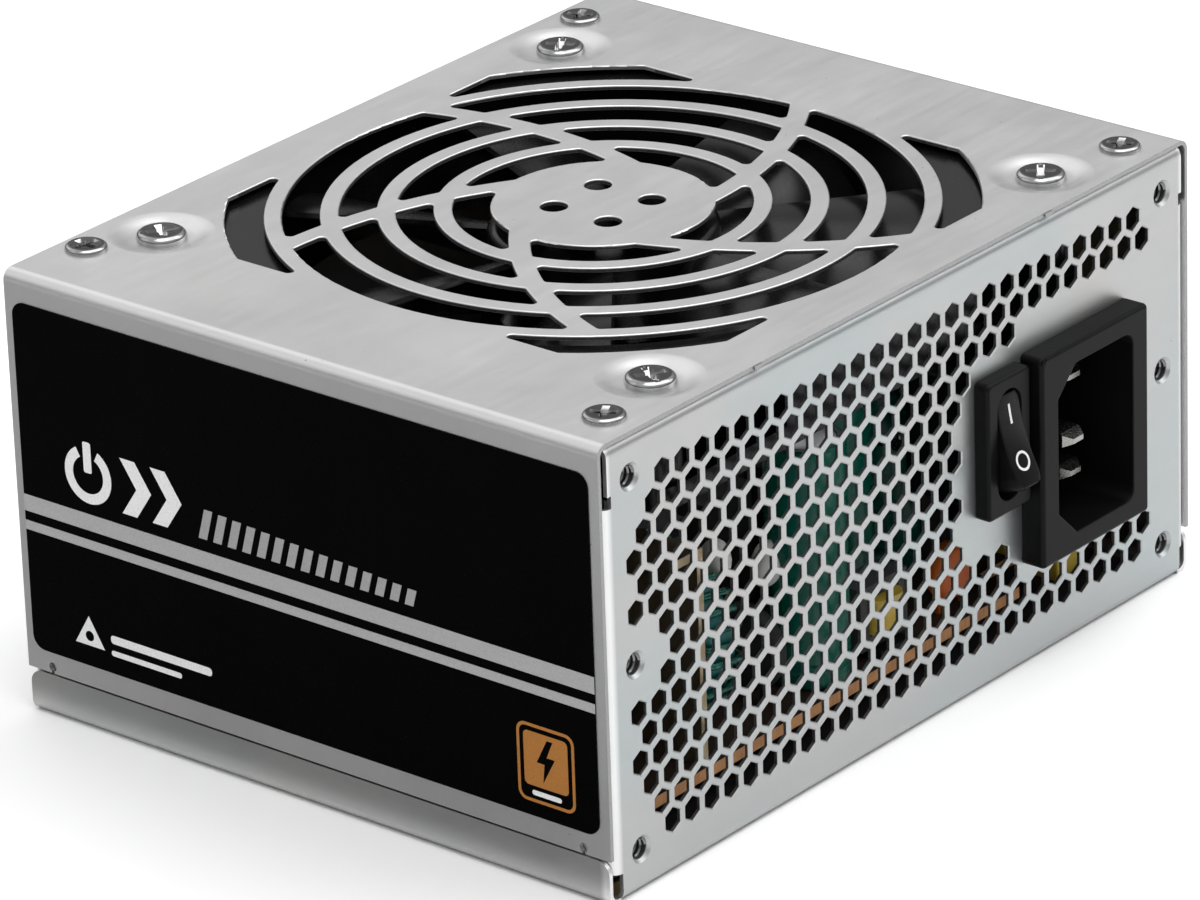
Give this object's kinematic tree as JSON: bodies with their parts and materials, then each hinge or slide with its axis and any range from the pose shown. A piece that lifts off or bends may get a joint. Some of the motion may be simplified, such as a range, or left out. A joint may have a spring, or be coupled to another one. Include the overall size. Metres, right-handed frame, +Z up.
{
  "type": "power supply unit",
  "caption": "Small-form-factor computer power supply: plated steel box with a top fan behind a slotted grille, honeycomb inlet panel, mains socket and rocker switch.",
  "frame": {"origin": "centre of the casing's underside, the face it rests on", "axes": "+X along the mains inlet panel's long side, +Z up out of the fan side; the inlet panel is the -Y wall and the output cables leave by the +Y wall"},
  "size_m": [0.1252, 0.1074, 0.0642],
  "materials": {
    "plated_steel": "satin zinc-nickel plating, fine rolled grain",
    "label_film": "glossy black printed film",
    "black_plastic": "satin moulded nylon",
    "rocker_plastic": "satin moulded nylon",
    "bright_screw": "bright nickel plating",
    "brass_post": "turned",
    "bronze": "sintered",
    "contact_metal": "tinned",
    "fan_plastic": "moulded, slightly glossy",
    "core_steel": "laminated",
    "ferrite": "matt sintered",
    "copper_wire": "enamelled copper",
    "green_board": "solder mask",
    "paper_board": "phenolic paper laminate",
    "insulation_film": "polyester film",
    "wire_sleeve": "vinyl insulation",
    "green_sleeve": "heat-shrunk sleeve",
    "dark_sleeve": "heat-shrunk sleeve",
    "teal_core": "epoxy coating",
    "yellow_core": "epoxy coating",
    "yellow_tape": "polyester tape",
    "yellow_box": "moulded box",
    "orange_disc": "dipped ceramic",
    "device_plastic": "moulded epoxy",
    "aluminium_sheet": "sawn sheet",
    "fuse_glass": "clear",
    "white_plastic": "moulded"
  },
  "bodies": {
    "casing": {"board_screws": "bright_screw", "board_standoffs": "brass_post", "bridge_heatsink": "aluminium_sheet", "bridge_rectifier": "device_plastic", "cable_grommet": "black_plastic", "chassis_tray": "plated_steel", "control_board": "green_board", "cover_screws": "bright_screw", "fan_bearing": "bronze", "fan_circuit_board": "green_board", "fan_coils": "copper_wire", "fan_frame": "fan_plastic", "fan_header": "white_plastic", "fan_lead": "wire_sleeve", "fan_screws": "bright_screw", "fan_stator": "core_steel", "filter_capacitor": "yellow_box", "fuse": "fuse_glass", "gate_transformer_bobbin": "black_plastic", "gate_transformer_core": "ferrite", "gate_transformer_winding": "yellow_tape", "inlet_capacitor": "yellow_box", "inlet_earth_pin": "contact_metal", "inlet_housing": "black_plastic", "inlet_live_pin": "contact_metal", "inlet_neutral_pin": "contact_metal", "inlet_wires": "wire_sleeve", "input_choke_core": "teal_core", "input_choke_winding": "copper_wire", "inrush_thermistor": "device_plastic", "insulation_sheet": "insulation_film", "main_circuit_board": "paper_board", "main_transformer_bobbin": "black_plastic", "main_transformer_core": "ferrite", "main_transformer_winding": "yellow_tape", "output_capacitors": "dark_sleeve", "output_choke_core": "yellow_core", "output_choke_winding": "copper_wire", "primary_capacitors": "green_sleeve", "primary_heatsink": "aluminium_sheet", "primary_transistors": "device_plastic", "secondary_heatsink": "aluminium_sheet", "secondary_rectifiers": "device_plastic", "side_label": "label_film", "standby_transformer_bobbin": "black_plastic", "standby_transformer_core": "ferrite", "standby_transformer_winding": "yellow_tape", "switch_housing": "black_plastic", "switch_terminals": "contact_metal", "top_cover": "plated_steel", "x_capacitor": "yellow_box", "y_capacitors": "orange_disc"},
    "fan_rotor": {"fan_impeller": "fan_plastic", "fan_yoke": "core_steel", "fan_magnet": "ferrite", "fan_shaft": "bright_screw"},
    "rocker": {"switch_rocker": "rocker_plastic"}
  },
  "joints": [
    {"name": "fan_spin", "type": "hinge", "parent": "casing", "child": "fan_rotor", "pos_m": [0, 0, 0.0542], "axis": [0, 0, 1], "continuous": true},
    {"name": "switch_rock", "type": "hinge", "parent": "casing", "child": "rocker", "pos_m": [0.019, -0.0503, 0.03505], "axis": [1, 0, 0], "range_deg": [0, 37]}
  ]
}
